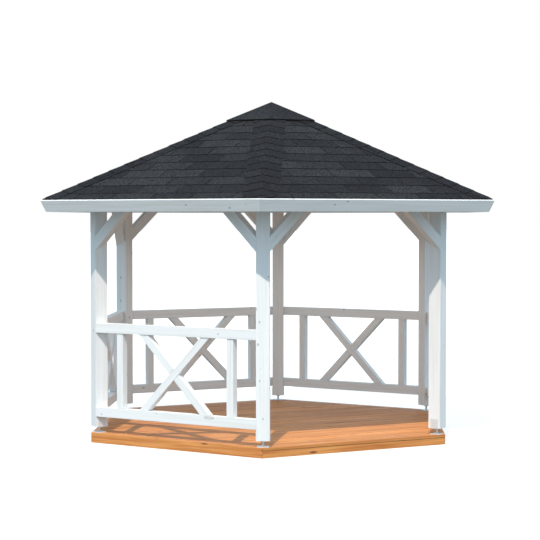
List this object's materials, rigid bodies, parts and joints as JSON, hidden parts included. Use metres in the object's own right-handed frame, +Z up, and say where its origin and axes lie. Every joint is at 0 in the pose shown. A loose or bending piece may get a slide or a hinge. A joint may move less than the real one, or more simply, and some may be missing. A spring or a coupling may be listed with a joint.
{
  "type": "garden gazebo",
  "caption": "Open hexagonal timber garden gazebo with a shingle roof, board deck, knee-braced posts and crossed railing panels, one side left open as the entrance.",
  "frame": {"origin": "centre of the hexagonal footprint, on the ground under the deck", "axes": "+Z up, the open entrance side faces -Y, X along the entrance side"},
  "size_m": [4.795, 4.153, 3.2438],
  "materials": {
    "white_paint": "opaque white paint on planed softwood",
    "deck_wood": "oiled softwood decking",
    "shingle": "matt bitumen felt faced with dark slate granules",
    "zinc": "hot-dip galvanised"
  },
  "bodies": {
    "root": {"deck_boards": "deck_wood", "deck_rim": "deck_wood", "deck_bearers": "deck_wood", "post_feet": "zinc", "post_front_right": "white_paint", "post_right": "white_paint", "post_back_right": "white_paint", "post_back_left": "white_paint", "post_left": "white_paint", "post_front_left": "white_paint", "railing_front_right": "white_paint", "railing_back_right": "white_paint", "railing_back": "white_paint", "railing_back_left": "white_paint", "railing_front_left": "white_paint", "braces_front": "white_paint", "braces_front_right": "white_paint", "braces_back_right": "white_paint", "braces_back": "white_paint", "braces_back_left": "white_paint", "braces_front_left": "white_paint", "top_plates": "white_paint", "hip_rafters": "white_paint", "middle_rafters": "white_paint", "roof_hub": "white_paint", "roof_boards_front": "white_paint", "roof_boards_front_right": "white_paint", "roof_boards_back_right": "white_paint", "roof_boards_back": "white_paint", "roof_boards_back_left": "white_paint", "roof_boards_front_left": "white_paint", "fascia_front": "white_paint", "fascia_front_right": "white_paint", "fascia_back_right": "white_paint", "fascia_back": "white_paint", "fascia_back_left": "white_paint", "fascia_front_left": "white_paint", "shingles_front": "shingle", "shingles_front_right": "shingle", "shingles_back_right": "shingle", "shingles_back": "shingle", "shingles_back_left": "shingle", "shingles_front_left": "shingle", "hip_strips": "shingle", "apex_cap": "shingle"}
  },
  "joints": []
}
